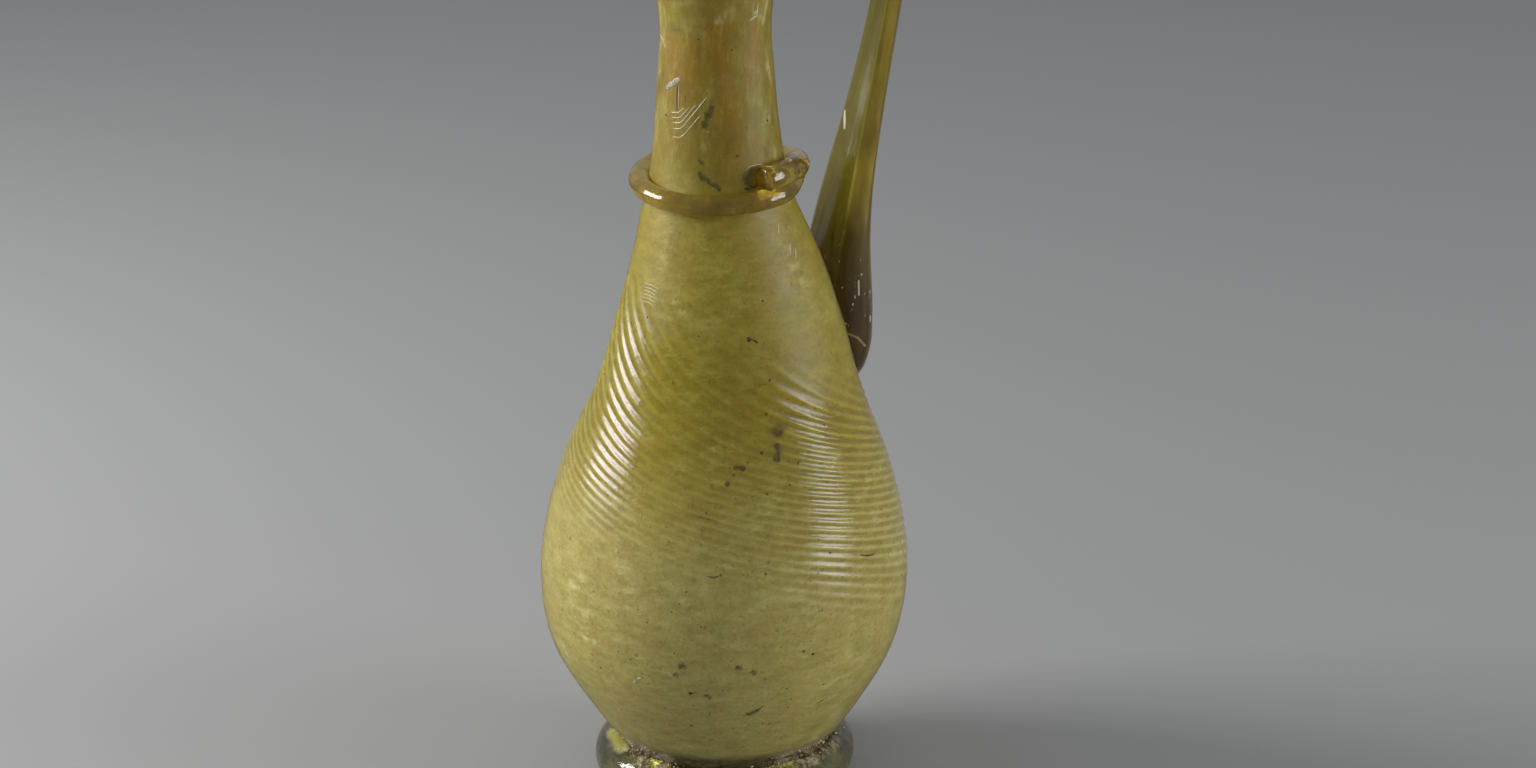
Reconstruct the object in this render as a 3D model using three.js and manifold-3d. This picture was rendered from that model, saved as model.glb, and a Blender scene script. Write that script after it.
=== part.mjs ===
import * as THREE from 'three';
import Module from 'manifold-3d';

// A free-blown glass jug: a pear-shaped body with fine twisted ribs and a tapering neck, a trail
// wound round the base of the neck, one tall strap handle and a thick coil for a foot.
// Millimetres, +Z up. The foot stands on z = 0, and the handle is on the +X side.

const wasm = await Module();
wasm.setup();

// Body, as heights and outer radii
const baseRadius = 26.4;
const baseTop = 12;
const baseLift = 4.6;
const bowlPower = 3.8;
const pontilKick = 1.6;
const pontilRadius = 11;
const baseFlare = 0.86;
const wallStations = [
  [baseTop, baseRadius],
  [24, 35.0],
  [38, 42.3],
  [55, 44.9],
  [70, 43.1],
  [86, 38.4],
  [102, 31.8],
  [118, 27.2],
  [134, 22.6],
  [144, 19.4],
  [152, 16.8],
  [165, 14.85],
  [178, 13.8],
  [190, 13.1],
  [206, 15.3],
  [222, 22.4],
];
const lipStart = 219.5;
const lipThickness = 3.0;
const wallThickness = 1.9;
const neckThickness = 2.3;
const baseThickness = 3.2;

// The blown wall wanders a little to one side, as heights and distances along one direction.
const leanDirection = new THREE.Vector2(Math.cos(Math.PI / 6), -Math.sin(Math.PI / 6));
const leanStations = [
  [12, 0],
  [40, -0.35],
  [62, 0],
  [86, 0.4],
  [118, 1.4],
  [134, 0.7],
  [150, -1.05],
  [165, -1.3],
  [196, -1.65],
  [222, -1.8],
];

// Ribs, a left-handed twist that is tightest at the shoulder. They fade in and out over ranges of
// height that lie higher on one side, towards an angle in degrees.
const ribCount = 34;
const ribHeight = 0.34;
const twistSlow = 1.6;
const twistFast = 3.9;
const twistCentre = 84;
const twistSpreadBelow = 33;
const twistSpreadAbove = 22;
const ribsFadeIn = [57, 80];
const ribsFadeOut = [104, 125];
const ribsHigherBy = 13;
const ribsHigherTowards = 160;
const ribbedTop = 146;

// Foot, a coil flattened where it stands
const footRadius = 26.1;
const footTube = 6.3;
const footCentre = 5.6;
const footWobble = 0.4;

// Collar, a trail that starts under its own end and climbs onto itself, by angles in degrees
const collarLean = -0.8;
const collarRadius = 19.0;
const collarTube = 2.45;
const collarEndTube = 2.75;
const collarHeight = 153.8;
const collarTilt = 1.6;
const collarTiltTowards = 42;
const collarStart = -40;
const collarEnd = -446;
const collarClimb = 5.5;
const collarClimbInward = 0.7;
const collarClimbFrom = -330;
const collarClimbTo = -438;

// Handle stations from the pad's tip up to the mouth: out from the axis, up, thickness and width
const handleStations = [
  [33.9, 97.5, 3.2, 6],
  [33.4, 101.5, 7.4, 14],
  [32.6, 107, 10.8, 20.2],
  [32.0, 116, 13.2, 21.8],
  [31.6, 126, 13.2, 21.4],
  [32.8, 137, 9.6, 20.2],
  [35.0, 149, 7.4, 17.2],
  [38.1, 162, 6.4, 13.8],
  [41.4, 176, 5.8, 11.2],
  [44.7, 191, 5.4, 9.8],
  [46.8, 202, 5.4, 9.8],
  [45.0, 211.5, 5.6, 10.4],
  [37.5, 216.2, 5.8, 11.4],
  [28.5, 214.6, 6.2, 12.8],
  [20.0, 210.8, 7.2, 14.8],
  [11.0, 206.0, 7.2, 14.8],
];
const strapSquareness = 2.4;

// How finely the solids are faceted
const ribColumns = 2 * ribCount;
const plainColumns = ribCount;
const turnPerRing = THREE.MathUtils.degToRad(15.5);
const tallestRing = 6;
const handleRings = 28;
const handleSides = 12;
const collarRings = 44;
const collarSides = 8;
const footRings = 36;
const footSides = 10;
const undersideRings = [0, 5, 9, 14, 19, 23.5];
const neckRings = [149, 152, 158, 168, 180, 190, 198, 205, 212, lipStart];
const lipAngles = [40, 90, 140];
const innerHeights = [lipStart, 210, 200, 188, 166, 152, 142, 124, 106, 88, 72, 56, 40, 25];
const floorRings = [baseRadius, 21, 12, 0];

// Separate gathers of glass keep this gap where they touch the body.
const gap = 0.3;

// The origin is under the middle of the whole outline, so the vessel's axis is off it.
const handleReach = 49.3;
const bellyReach = 44.9;
const axisX = -(handleReach - bellyReach) / 2;

const { smoothstep, degToRad } = THREE.MathUtils;

// A smooth function through stations of height and value, by cubic pieces
function smoothThrough(stations, firstSlope) {
  const last = stations.length - 1;
  const slopeOver = (i) => (stations[i + 1][1] - stations[i][1]) / (stations[i + 1][0] - stations[i][0]);
  const slopes = stations.map(([height], i) => {
    if (i === 0) return firstSlope;
    if (i === last) return slopeOver(last - 1);
    const below = height - stations[i - 1][0];
    const above = stations[i + 1][0] - height;
    return (slopeOver(i - 1) * above + slopeOver(i) * below) / (below + above);
  });
  return (height) => {
    const z = THREE.MathUtils.clamp(height, stations[0][0], stations[last][0]);
    let i = 0;
    while (i < last - 1 && z > stations[i + 1][0]) i += 1;
    const span = stations[i + 1][0] - stations[i][0];
    const t = (z - stations[i][0]) / span;
    const rise = stations[i + 1][1] - stations[i][1];
    const start = slopes[i] * span;
    const end = slopes[i + 1] * span;
    const bend = t * t * (3 * rise - 2 * start - end) + t ** 3 * (start + end - 2 * rise);
    return stations[i][1] + t * start + bend;
  };
}

const radiusAt = smoothThrough(wallStations, baseFlare);
const leanAt = smoothThrough(leanStations, 0);

// The outer surface, by a distance that runs out along the underside and then up the wall
function outerPoint(run) {
  if (run >= baseRadius) {
    const z = run - baseRadius + baseTop;
    return new THREE.Vector2(radiusAt(z), z);
  }
  const bowl = (baseTop - baseLift) * (run / baseRadius) ** bowlPower;
  const kick = pontilKick * Math.max(0, 1 - (run / pontilRadius) ** 2) ** 2;
  return new THREE.Vector2(run, baseLift + bowl + kick);
}

const runAt = (height) => height - baseTop + baseRadius;

function outwardNormal(run) {
  const step = 0.05;
  const along = outerPoint(run + step).sub(outerPoint(Math.max(0, run - step)));
  return new THREE.Vector2(along.y, -along.x).normalize();
}

// How far the ribs have turned at a height. They stop turning above the ribbed part.
function twistAt(z) {
  const from = Math.min(z, ribbedTop) - twistCentre;
  const spread = from > 0 ? twistSpreadAbove : twistSpreadBelow;
  return -degToRad(twistSlow * from + twistFast * spread * Math.tanh(from / spread));
}

function twistRate(z) {
  const step = 0.5;
  return Math.abs(twistAt(z + step) - twistAt(z - step)) / (2 * step);
}

function ribAt(z, angle) {
  const from = z - ribsHigherBy * Math.cos(angle - degToRad(ribsHigherTowards));
  return ribHeight * smoothstep(from, ...ribsFadeIn) * (1 - smoothstep(from, ...ribsFadeOut));
}

// One ring of the body's skin at a profile point, with a ridge and a furrow to each rib where it
// has columns for them. A ring on the axis is a single vertex.
function bodyRing(point, columns, turn) {
  const lean = leanDirection.clone().multiplyScalar(leanAt(point.y));
  const count = point.x < 1e-6 ? 1 : columns;
  return Array.from({ length: count }, (_, k) => {
    const angle = turn + (2 * Math.PI * k) / count;
    const rib = columns === ribColumns ? ribAt(point.y, angle) : 0;
    const r = point.x + (k % 2 === 0 ? rib : -rib);
    return new THREE.Vector3(axisX + lean.x + r * Math.cos(angle), lean.y + r * Math.sin(angle), point.y);
  });
}

function outerRing(run, grow, columns) {
  const point = outerPoint(run).addScaledVector(outwardNormal(run), run > 0 ? grow : 0);
  if (run === 0) point.y -= grow;
  return bodyRing(point, columns, twistAt(point.y));
}

// Heights of the ribbed rings: each turns by the same angle, and none is too tall
function ribbedHeights() {
  const heights = [];
  const least = 1;
  let z = baseTop;
  while (z < ribbedTop - least) {
    heights.push(z);
    z += Math.min(tallestRing, turnPerRing / twistRate(z + least));
  }
  return [...heights, ribbedTop];
}

// The outside of the body from the middle of its underside up to where the lip begins
function outerRings(grow) {
  const underside = undersideRings.map((run) => outerRing(run, grow, plainColumns));
  const ribbed = ribbedHeights().map((z) => outerRing(runAt(z), grow, ribColumns));
  const neck = neckRings.map((z) => outerRing(runAt(z), grow, plainColumns));
  return [...underside, ...ribbed, ...neck];
}

function lipRings() {
  const run = runAt(lipStart);
  const normal = outwardNormal(run);
  const along = new THREE.Vector2(-normal.y, normal.x);
  const half = lipThickness / 2;
  const middle = outerPoint(run).addScaledVector(normal, -half);
  return lipAngles.map((degrees) => {
    const angle = degToRad(degrees);
    const point = middle.clone();
    point.addScaledVector(normal, half * Math.cos(angle)).addScaledVector(along, half * Math.sin(angle));
    return bodyRing(point, plainColumns, twistAt(lipStart));
  });
}

function thicknessAt(z) {
  const base = (baseThickness - wallThickness) * (1 - smoothstep(z, baseTop, 40));
  const neck = (neckThickness - wallThickness) * smoothstep(z, 110, 160);
  const lip = (lipThickness - neckThickness) * smoothstep(z, 200, lipStart);
  return wallThickness + base + neck + lip;
}

// The inside of the body from the lip down to the middle of its floor
function innerRings() {
  return [...innerHeights.map(runAt), ...floorRings].map((run) => {
    const outer = outerPoint(run);
    const point = outer.clone().addScaledVector(outwardNormal(run), -thicknessAt(outer.y));
    if (run === 0) point.set(0, outer.y + baseThickness);
    return bodyRing(point, plainColumns, twistAt(lipStart));
  });
}

// A closed skin over rings of vertices, each turning right-handed about the way the rings run.
// Neighbouring rings hold the same count, or one of them half as many, or one single vertex.
function skinOver(rings, isLoop = false) {
  const starts = [];
  const positions = [];
  for (const ring of rings) {
    starts.push(positions.length / 3);
    for (const vertex of ring) positions.push(vertex.x, vertex.y, vertex.z);
  }
  const triangles = [];
  const bands = isLoop ? rings.length : rings.length - 1;
  for (let i = 0; i < bands; i += 1) {
    const next = (i + 1) % rings.length;
    const low = (k) => starts[i] + (k % rings[i].length);
    const high = (k) => starts[next] + (k % rings[next].length);
    bridge(triangles, rings[i].length, low, rings[next].length, high);
  }
  const geometry = new THREE.BufferGeometry();
  geometry.setAttribute('position', new THREE.Float32BufferAttribute(positions, 3));
  geometry.setIndex(triangles);
  return geometry;
}

function bridge(triangles, lowCount, low, highCount, high) {
  if (lowCount === 1) {
    for (let k = 0; k < highCount; k += 1) triangles.push(low(0), high(k + 1), high(k));
  } else if (highCount === 1) {
    for (let k = 0; k < lowCount; k += 1) triangles.push(low(k), low(k + 1), high(0));
  } else if (lowCount === highCount) {
    for (let k = 0; k < lowCount; k += 1) {
      triangles.push(low(k), low(k + 1), high(k + 1), low(k), high(k + 1), high(k));
    }
  } else if (highCount > lowCount) {
    for (let k = 0; k < lowCount; k += 1) {
      triangles.push(low(k), high(2 * k + 1), high(2 * k), low(k), low(k + 1), high(2 * k + 1));
      triangles.push(low(k + 1), high(2 * k + 2), high(2 * k + 1));
    }
  } else {
    for (let k = 0; k < highCount; k += 1) {
      triangles.push(low(2 * k), low(2 * k + 1), high(k), low(2 * k + 1), high(k + 1), high(k));
      triangles.push(low(2 * k + 1), low(2 * k + 2), high(k + 1));
    }
  }
}

// An oval section about a point, across two directions
function section(centre, across, side, halfAcross, halfSide, sides, squareness = 2) {
  const power = 2 / squareness;
  const shaped = (value) => Math.sign(value) * Math.abs(value) ** power;
  return Array.from({ length: sides }, (_, k) => {
    const angle = (2 * Math.PI * (k + 0.5)) / sides;
    return centre
      .clone()
      .addScaledVector(across, halfAcross * shaped(Math.cos(angle)))
      .addScaledVector(side, halfSide * shaped(Math.sin(angle)));
  });
}

function footCoil() {
  const rings = [];
  for (let i = 0; i < footRings; i += 1) {
    const angle = (2 * Math.PI * i) / footRings;
    const outward = new THREE.Vector3(Math.cos(angle), Math.sin(angle), 0);
    const up = new THREE.Vector3(0, 0, 1);
    const radius = footRadius + footWobble * Math.sin(2 * angle + 0.6);
    const tube = footTube + 0.4 * footWobble * Math.sin(3 * angle);
    const centre = outward.clone().multiplyScalar(radius).add(new THREE.Vector3(axisX, 0, footCentre));
    const ring = section(centre, up, outward, tube, tube, footSides);
    for (const vertex of ring) vertex.z = Math.max(0, vertex.z);
    rings.push(ring);
  }
  return skinOver(rings, true);
}

// Where the collar's trail runs at an angle
function collarPoint(degrees) {
  const angle = degToRad(degrees);
  const climb = 1 - smoothstep(degrees, collarClimbTo, collarClimbFrom);
  const radius = collarRadius - collarClimbInward * climb;
  const tilt = collarTilt * Math.cos(degToRad(degrees - collarTiltTowards));
  return new THREE.Vector3(
    axisX + collarLean * leanDirection.x + radius * Math.cos(angle),
    collarLean * leanDirection.y + radius * Math.sin(angle),
    collarHeight + tilt + collarClimb * climb,
  );
}

function collarTrail(from, to) {
  const rings = [];
  const count = Math.round((collarRings * Math.abs(to - from)) / Math.abs(collarEnd - collarStart));
  for (let i = 0; i <= count; i += 1) {
    const degrees = from + ((to - from) * i) / count;
    const centre = collarPoint(degrees);
    const along = collarPoint(degrees - 1).sub(collarPoint(degrees + 1)).normalize();
    const angle = degToRad(degrees);
    const outward = new THREE.Vector3(Math.cos(angle), Math.sin(angle), 0);
    const side = new THREE.Vector3().crossVectors(along, outward).normalize();
    const tail = smoothstep(collarStart - degrees, -8, 26);
    const end = 1 - smoothstep(degrees, collarClimbTo, collarClimbFrom);
    const tube = collarTube * (0.45 + 0.55 * tail) + (collarEndTube - collarTube) * end;
    rings.push(section(centre, outward, side, tube, tube, collarSides));
  }
  return skinOver([[collarPoint(from)], ...rings, [collarPoint(to)]]);
}

function strapHandle() {
  const path = new THREE.CatmullRomCurve3(
    handleStations.map(([out, up]) => new THREE.Vector3(axisX + out, 0, up)),
    false,
    'centripetal',
  );
  const sizes = new THREE.CatmullRomCurve3(
    handleStations.map(([, , thickness, width]) => new THREE.Vector3(thickness, width, 0)),
    false,
    'catmullrom',
  );
  const side = new THREE.Vector3(0, 1, 0);
  const rings = [[path.getPoint(0)]];
  for (let i = 0; i <= handleRings; i += 1) {
    const t = i / handleRings;
    const along = path.getTangent(t);
    const outward = new THREE.Vector3(along.z, 0, -along.x);
    const half = sizes.getPoint(t).divideScalar(2);
    rings.push(section(path.getPoint(t), outward, side, half.x, half.y, handleSides, strapSquareness));
  }
  rings.push([path.getPoint(1)]);
  return skinOver(rings);
}

function solidOf(geometry) {
  return new wasm.Manifold(
    new wasm.Mesh({
      numProp: 3,
      vertProperties: geometry.getAttribute('position').array,
      triVerts: Uint32Array.from(geometry.getIndex().array),
    }),
  );
}

function geometryOf(solid) {
  const mesh = solid.getMesh();
  const geometry = new THREE.BufferGeometry();
  geometry.setAttribute('position', new THREE.Float32BufferAttribute(mesh.vertProperties, 3));
  geometry.setIndex(new THREE.Uint32BufferAttribute(mesh.triVerts, 1));
  return geometry;
}

// The body's filled outer form grown by the gap, which the other pieces are cut by
function bodyClearance() {
  const rings = outerRings(gap);
  const top = outerPoint(runAt(lipStart)).y;
  return solidOf(skinOver([...rings, bodyRing(new THREE.Vector2(0, top), 1, 0)]));
}

function glass(name, geometry, color, roughness) {
  geometry.computeVertexNormals();
  const material = new THREE.MeshStandardMaterial({ color, roughness, metalness: 0 });
  const mesh = new THREE.Mesh(geometry, material);
  mesh.name = name;
  return mesh;
}

function makeJug() {
  const clearance = bodyClearance();
  const halfway = (collarStart + collarEnd) / 2;
  const overlap = 3;
  const trail = solidOf(collarTrail(collarStart, halfway - overlap)).add(
    solidOf(collarTrail(halfway + overlap, collarEnd)),
  );
  const pieces = {
    neck_collar: trail,
    handle: solidOf(strapHandle()),
    foot_ring: solidOf(footCoil()),
  };
  const jug = new THREE.Group();
  jug.name = 'ribbed_flask';
  jug.add(glass('body', skinOver([...outerRings(0), ...lipRings(), ...innerRings()]), 0x8f8440, 0.3));
  const finishes = {
    neck_collar: [0x7d6a34, 0.12],
    handle: [0x6e6026, 0.2],
    foot_ring: [0x6f6d4f, 0.15],
  };
  for (const [name, solid] of Object.entries(pieces)) {
    jug.add(glass(name, geometryOf(solid.subtract(clearance)), ...finishes[name]));
  }
  return jug;
}

export default makeJug();
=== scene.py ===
"""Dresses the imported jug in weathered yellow-olive glass.

Shapes are worked out in millimetres, and make_piece turns them into Blender's metres. The frame is
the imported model's: +Z up, the foot on z = 0, the handle on the +X side. Places on the jug are given
by a turn and a height: the turn is in degrees to the right from the side that faces the camera.
"""

import math
from functools import partialmethod

import bmesh
import bpy
import numpy as np
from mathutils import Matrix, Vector, noise


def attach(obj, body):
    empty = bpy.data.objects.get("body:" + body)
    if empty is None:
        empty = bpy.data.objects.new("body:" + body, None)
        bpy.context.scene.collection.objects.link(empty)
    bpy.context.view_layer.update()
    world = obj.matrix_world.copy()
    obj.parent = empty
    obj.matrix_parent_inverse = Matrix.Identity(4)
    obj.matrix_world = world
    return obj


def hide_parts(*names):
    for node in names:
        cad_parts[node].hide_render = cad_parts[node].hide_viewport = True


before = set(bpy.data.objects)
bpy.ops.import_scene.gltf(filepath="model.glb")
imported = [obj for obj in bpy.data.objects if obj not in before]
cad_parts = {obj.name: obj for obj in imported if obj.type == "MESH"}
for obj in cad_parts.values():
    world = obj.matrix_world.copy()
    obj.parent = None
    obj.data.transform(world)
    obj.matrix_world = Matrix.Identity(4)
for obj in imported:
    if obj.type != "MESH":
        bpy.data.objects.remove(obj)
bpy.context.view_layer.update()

MM = 0.001

# Camera, on the photograph's side of the jug
CAMERA_AZIMUTH = -30
CAMERA_BACK = 773.3
CAMERA_RIGHT = 10.6
CAMERA_HEIGHT = 379.2
CAMERA_PITCH = 19.73
CAMERA_LENS = 80
SENSOR_WIDTH = 36

# Body, as heights and outer radii
AXIS_X = -2.2
BASE_RADIUS = 26.4
BASE_TOP = 12
BASE_LIFT = 4.6
BOWL_POWER = 3.8
PONTIL_KICK = 1.6
PONTIL_RADIUS = 11
BASE_FLARE = 0.86
WALL_STATIONS = [
    (BASE_TOP, BASE_RADIUS), (24, 35.0), (38, 42.3), (55, 44.9), (70, 43.1), (86, 38.4),
    (102, 31.8), (118, 27.2), (134, 22.6), (144, 19.4), (152, 16.8),
    (165, 14.85), (178, 13.8), (190, 13.1), (206, 15.3), (222, 22.4),
]
LIP_START = 219.5
LIP_THICKNESS = 3.0
WALL_THICKNESS = 1.9
NECK_THICKNESS = 2.3
BASE_THICKNESS = 3.2

# Where the wall is thicker: up to a height, over the neck and from a height to the lip
BASE_THICK_TO = 40
NECK_THICK_OVER = (110, 160)
LIP_THICK_FROM = 200

# How far the axis leans to the camera's right, by height
LEAN_STATIONS = [
    (12, 0), (40, -0.35), (62, 0), (86, 0.4), (118, 1.4),
    (134, 0.7), (150, -1.05), (165, -1.3), (196, -1.65), (222, -1.8),
]

# Ribs, a left-handed twist in degrees to the millimetre that is fastest at the shoulder
RIB_COUNT = 34
RIB_STEEPNESS = 0.42
RIB_HEIGHT_MOST = 0.3
RIB_SHARPNESS = 0.18
TWIST_SLOW = 1.6
TWIST_FAST = 3.9
TWIST_CENTRE = 84
TWIST_SPREAD_BELOW = 33
TWIST_SPREAD_ABOVE = 22
RIBS_START = (58, 80)
RIBS_END = (104, 124)
TWIST_END = RIBS_END[1] + 10
RIBS_HIGHER_AT = -80
RIBS_START_HIGHER_BY = 13
RIBS_END_HIGHER_BY = 13

# The wall turns to bare clear glass between these heights, down at the foot, and over the same heights
# the film inside is painted dark as shade in the corner over the foot
BARE_FROM = 18.5
BARE_TO = 15

# The ribs are worn about one turn, where the painted light on their crests fades too: how much of that
# painted light and of the height, from how near to how far
CREST_LIGHT_FADE = 0.8
RIBS_WORN = 0.42
WORN_AND_FADED_AT = -8
WORN_AND_FADED_OVER = (16, 50)

# How uneven the blown wall is, and over what size
WALL_UNEVEN = 0.12
WALL_UNEVEN_SIZE = 16
UNEVEN_FROM = 30

# The body's mesh
COLUMNS_PER_RIB = 9
ROW_STEP = 0.8
NECK_ROW_STEP = 1.6
FINE_ROWS_END = 150
UNDER_ROWS = 17
LIP_ROWS = 9
INNER_ROWS = 50
FLOOR_ROWS = 12

# Foot, a coil flattened where it stands
FOOT_RADIUS = 26.1
FOOT_TUBE = 6.3
FOOT_CENTRE = 5.6
FOOT_WOBBLE = 0.4
FOOT_UNEVEN = 0.16
FOOT_UNEVEN_SIZE = 5
FOOT_LEVEL_BELOW = 0.4
FOOT_RINGS = 260
FOOT_SIDES = 48

# Collar, a trail that starts under its own end and climbs onto itself, by angles in degrees
COLLAR_LEAN = -0.8
COLLAR_RADIUS = 19.0
COLLAR_TUBE = 2.45
COLLAR_END_TUBE = 3.0
COLLAR_HEIGHT = 153.8
COLLAR_TILT = 1.6
COLLAR_TILT_TOWARDS = 42
COLLAR_START = -40
COLLAR_END = -446
COLLAR_CLIMB = 4.5
COLLAR_CLIMB_INWARD = 0.7
COLLAR_CLIMB_FROM = -330
COLLAR_CLIMB_TO = -438

# The trail's thin start, which lies deeper and higher, and its blunt end
COLLAR_START_OVER = (-8, 30)
COLLAR_START_SHARE = 0.75
COLLAR_START_DEEPER = 0.6
COLLAR_START_HIGHER = 1.4
COLLAR_END_OVER = 3
COLLAR_END_SHARE = 0.72

# How uneven the trail is, and its fine ridges: share of its thickness and waves across half of it
COLLAR_UNEVEN = 0.05
COLLAR_UNEVEN_OVER = 24
COLLAR_RIDGES = [(0.012, 9), (0.008, 21)]
COLLAR_RINGS = 300
COLLAR_SIDES = 64

# Handle from the pad's tip up to the mouth: out from the axis, up, thickness and width
HANDLE_STATIONS = [
    (33.9, 97.5, 3.2, 6),
    (33.4, 101.5, 7.4, 14),
    (32.6, 107, 10.8, 20.2),
    (32.0, 116, 13.2, 21.8),
    (31.6, 126, 13.2, 21.4),
    (32.8, 137, 9.6, 20.2),
    (35.0, 149, 7.4, 17.2),
    (38.1, 162, 6.4, 13.8),
    (41.4, 176, 5.8, 11.2),
    (44.7, 191, 5.4, 9.8),
    (46.8, 202, 5.4, 9.8),
    (45.0, 211.5, 5.6, 10.4),
    (37.5, 216.2, 5.8, 11.4),
    (28.5, 214.6, 6.2, 12.8),
    (20.0, 210.8, 7.2, 14.8),
    (11.0, 206.0, 7.2, 14.8),
]
STRAP_SQUARENESS = 2.4

# Grooves along the strap: share of its thickness, waves across half its width, drift and start
HANDLE_GROOVES = [(0.03, 3.4, 0.012, 0.4), (0.02, 7.9, -0.02, 1.9), (0.012, 15.5, 0.03, 2.6)]

HANDLE_SIDES = 88
HANDLE_RINGS = 280

# Pale chips and a brown ring on the strap: radius, then travels and angles along each
HANDLE_CHIPS = [
    (0.75, [(66.5, 150), (63, 168)]), (0.34, [(27, 236)]), (0.36, [(30, 272)]),
    (0.3, [(28.5, 268), (25, 268)]), (0.34, [(23, 256)]), (0.42, [(18, 240)]),
]
HANDLE_RING = [(0.42, [(13.5, 226), (15.4, 244), (14.2, 262), (11.5, 276)])]

# How deep the applied pieces sink into the body's wall
SEAT_DEPTH = 0.25

# A mark on the wall, as shares of its half width across and of its height, and how deep it sits
MARK_ACROSS = np.array([-1, -0.6, 0, 0.6, 1, 0.5, -0.5])
MARK_RISE = np.array([0, 0.8, 1, 0.8, 0, 0, 0])
MARK_SUNK = np.array([0.03, 0, 0, 0, 0.03, 0.14, 0.14])

# A mark's rings and its ragged edge
MARK_STEP = 0.45
MARK_FEWEST = 7
MARK_THINNEST = 0.03
MARK_WAVES = 1.7

# Dark residue: half width, then the turn and height of each point along it
RESIDUE = [
    (0.62, [(11, 122)]), (0.3, [(12.5, 122), (15.5, 121)]), (0.36, [(-26.5, 111.5)]),
    (0.3, [(19.5, 112.5)]), (0.4, [(17, 105)]), (0.5, [(20.5, 98.4), (21.3, 97.4)]),
    (0.42, [(14, 97), (14.6, 96.4)]), (0.4, [(18.6, 95), (21.8, 94.8)]),
    (0.42, [(28.3, 93.5), (29.2, 93.3)]), (0.62, [(4, 93.8)]), (0.72, [(6.7, 93.6)]),
    (0.36, [(3.3, 92.3)]), (0.62, [(1, 90.4)]), (0.34, [(15.4, 87.8)]), (0.28, [(-6, 84)]),
    (0.34, [(36, 72.2)]), (0.2, [(48, 69.3), (52, 68.3), (55.6, 67.8)]), (0.48, [(28.8, 48.4)]),
    (0.5, [(-9.8, 39.7)]), (0.14, [(-9.6, 39.8), (-7.6, 40.2)]), (0.36, [(-51.2, 177.7)]),
    (0.24, [(-39.8, 178.8), (-39.9, 175.6), (-39.4, 172.6)]),
    (0.4, [(23.5, 155.3), (26, 155), (28, 155.2)]),
]
RUST = [
    (0.34, [(-0.7, 70.2)]), (0.22, [(-1, 70), (-3, 69.6), (-5, 69.9)]),
    (0.26, [(7.2, 32.8), (10.9, 33.4), (14, 35.6)]), (0.22, [(33.9, 32.9), (38.5, 33.9)]),
    (0.34, [(13.4, 70)]), (0.4, [(20.7, 39.9), (21.4, 40.1)]),
    (0.22, [(-30.3, 176.8), (-30.4, 175)]), (0.2, [(-9.4, 83.3), (-3.6, 82.6)]),
]
PALE_CHIPS = [
    (0.8, [(-57, 177.2), (-47, 178.7), (-36, 180.5)]), (0.5, [(-29, 40.2), (-27.6, 41)]),
    (0.36, [(-27.4, 41.5), (-25.6, 42.2)]), (0.2, [(22.6, 52), (25.4, 51.8)]),
    (0.34, [(-59.2, 56.6), (-58, 54.6)]), (0.24, [(-55.6, 55.2), (-54.4, 53.4)]),
    (0.22, [(-46, 147.8), (-43, 147.9)]), (0.32, [(46.5, 196), (41, 194.6)]),
]
# Bright lines that are partly flaked edges and partly painted glints, listed the same way
FLAKE_EDGES_AND_GLINTS = [
    (0.16, [(48, 146.4), (44, 143.9)]),
    (0.16, [(51.4, 141.3), (47.4, 138.7)]),
    (0.16, [(55.4, 139.9), (51.5, 137.7)]),
    (0.2, [(-61, 44), (-60.5, 41), (-59, 38.4)]),
    (0.12, [(-38, 178.6), (-37.6, 173)]),
    (0.18, [(47, 197.5), (46.6, 194.8), (36, 193.8)]),
    (0.14, [(-78, 189), (-67, 188), (-61, 186.4)]),
    (0.12, [(24.5, 159.2), (30, 160.1), (39.5, 160.2), (53, 158.6)]),
]

# Lines of the flaked place: height of the level part, and reach as a share of the longest
FLAKE_LINES = [(166.5, 0.72), (168.5, 1), (169.8, 0.62), (171, 0.36), (172.2, 0.2)]
FLAKE_HALF = 0.11
FLAKE_BEND = -32.5
FLAKE_BEND_STEP = -0.8
FLAKE_LEVEL = 11.5
FLAKE_LONGEST = (25, 8.2)

# Heights of the fine level scratches on the shoulder
SCRATCH_HALF = 0.08
SCRATCH_HEIGHTS = 131.6 - 0.8 * np.arange(6)

# Small random marks: how many, between which turns and heights, and between which half widths
RESIDUE_SCATTER = [
    (40, (-15, 45), (84, 106), (0.1, 0.3)),
    (60, (-35, 50), (26, 66), (0.08, 0.24)),
    (120, (-180, 180), (24, 200), (0.08, 0.3)),
]
RUST_SCATTER = [(60, (-180, 180), (22, 80), (0.1, 0.4))]
PALE_SCATTER = [(90, (-180, 180), (24, 206), (0.08, 0.3))]

# The glass torn off beside the collar's end
SCAR = [(2.6, [(26.5, 157.3), (38, 157.3)])]

# Soft brown stains: radius, then the turn and height of each point along it
STAINS = [
    (3.1, [(30.5, 157), (34.5, 157.6)]), (1.1, [(-4.4, 174), (-10.6, 170)]),
    (0.9, [(-14.3, 158.8), (-7.6, 157.3), (1.5, 155.6)]), (0.9, [(-13.6, 161.6)]),
    (0.7, [(18.3, 162.9)]), (2.4, [(21.5, 100.8)]), (1.5, [(21, 97.5), (20, 95)]),
    (1.1, [(4.5, 93.8), (6.5, 93.6)]), (1.4, [(-12, 47.2)]), (1.1, [(-14, 44.8)]),
    (1.2, [(-4.1, 39)]), (1.1, [(9.9, 45.8)]), (0.9, [(5.3, 47.1)]), (0.9, [(9, 33), (12, 34.2)]),
]

# Ochre patches on the neck, listed the same way
OCHRE_PATCHES = [
    (4.4, [(-53, 189), (-46, 176)]), (3.4, [(-24, 187), (-22, 178)]), (4.8, [(2, 192), (10, 172)]),
    (3.0, [(44, 192), (42, 186)]), (3.2, [(14, 166), (9, 158)]), (4.0, [(150, 190), (140, 172)]),
    (4.4, [(215, 184), (222, 170)]),
]

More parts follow.
